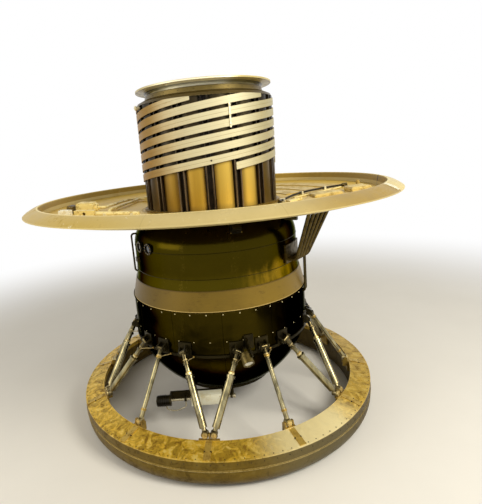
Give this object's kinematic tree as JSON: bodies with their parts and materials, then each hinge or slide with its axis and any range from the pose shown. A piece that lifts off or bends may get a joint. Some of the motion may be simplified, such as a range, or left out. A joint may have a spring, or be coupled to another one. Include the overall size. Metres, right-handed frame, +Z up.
{
  "type": "planetary lander",
  "caption": "Planetary lander on a strutted landing ring, with a banded round body, a wide dished brake disc and a drum antenna wound with helical strips.",
  "frame": {"origin": "centre of the landing ring's bottom face, on the floor", "axes": "+Z up through the middle of the body, -Y towards the front that the picture shows"},
  "size_m": [2.1, 2.1, 1.872],
  "materials": {
    "belly_black": "gloss black",
    "belt_metal": "satin tan",
    "strut_steel": "polished",
    "head_white": "white",
    "bracket_metal": "satin",
    "strip_cream": "cream white",
    "cable_black": "black",
    "deck_metal": "satin khaki",
    "pipe_metal": "satin",
    "casing_olive": "gloss dark olive",
    "rim_metal": "satin khaki cream",
    "column_gold": "satin gold",
    "drum_dark": "dark brown",
    "post_grey": "grey",
    "duct_metal": "dusty olive",
    "port_glass": "clear",
    "ring_metal": "dusty, mottled yellow metal",
    "port_black": "gloss black"
  },
  "bodies": {
    "lander": {"belly_dome": "belly_black", "belly_drum": "belly_black", "belly_flange": "belly_black", "belly_hatch": "belly_black", "belt_band": "belt_metal", "brace_struts": "strut_steel", "cable_clamps": "head_white", "cable_glands": "bracket_metal", "cable_guards": "head_white", "casing_lugs": "bracket_metal", "collar_ring": "strip_cream", "damper_rods": "strut_steel", "damper_tubes": "strut_steel", "deck_box": "head_white", "deck_cable": "cable_black", "deck_case": "deck_metal", "deck_duct": "pipe_metal", "deck_fittings": "bracket_metal", "deck_panels": "deck_metal", "deck_pipes": "pipe_metal", "disc_deck": "deck_metal", "disc_neck": "casing_olive", "disc_rim": "rim_metal", "drum_columns": "column_gold", "drum_core": "drum_dark", "drum_foot": "deck_metal", "drum_posts": "post_grey", "drum_shoulder": "drum_dark", "duct_bundle": "duct_metal", "duct_flange": "bracket_metal", "duct_saddles": "bracket_metal", "foot_pins": "strut_steel", "helix_strips": "strip_cream", "junction_block": "rim_metal", "lamp_bracket": "bracket_metal", "lamp_housing": "bracket_metal", "lamp_lens": "port_glass", "landing_ring": "ring_metal", "neck_ring": "drum_dark", "port_bezels": "port_black", "port_glasses": "port_glass", "rim_joint_plate": "rim_metal", "ring_straps": "ring_metal", "seam_flange": "belly_black", "sensor_drive": "belly_black", "sensor_frame": "bracket_metal", "sensor_lead": "pipe_metal", "side_pipes": "pipe_metal", "single_foot_brackets": "strut_steel", "strip_clips": "strip_cream", "top_brackets": "bracket_metal", "top_flange": "rim_metal", "top_pins": "strut_steel", "twin_foot_brackets": "strut_steel", "upper_casing": "casing_olive", "valve_blocks": "rim_metal", "vent_block": "rim_metal"},
    "sensor": {"sensor_head": "head_white", "sensor_shaft": "strut_steel"}
  },
  "joints": [
    {"name": "sensor_turn", "type": "hinge", "parent": "lander", "child": "sensor", "pos_m": [-0.12, -0.38478, 0.17], "axis": [1, 0, 0], "range_deg": [-90, 90]}
  ]
}
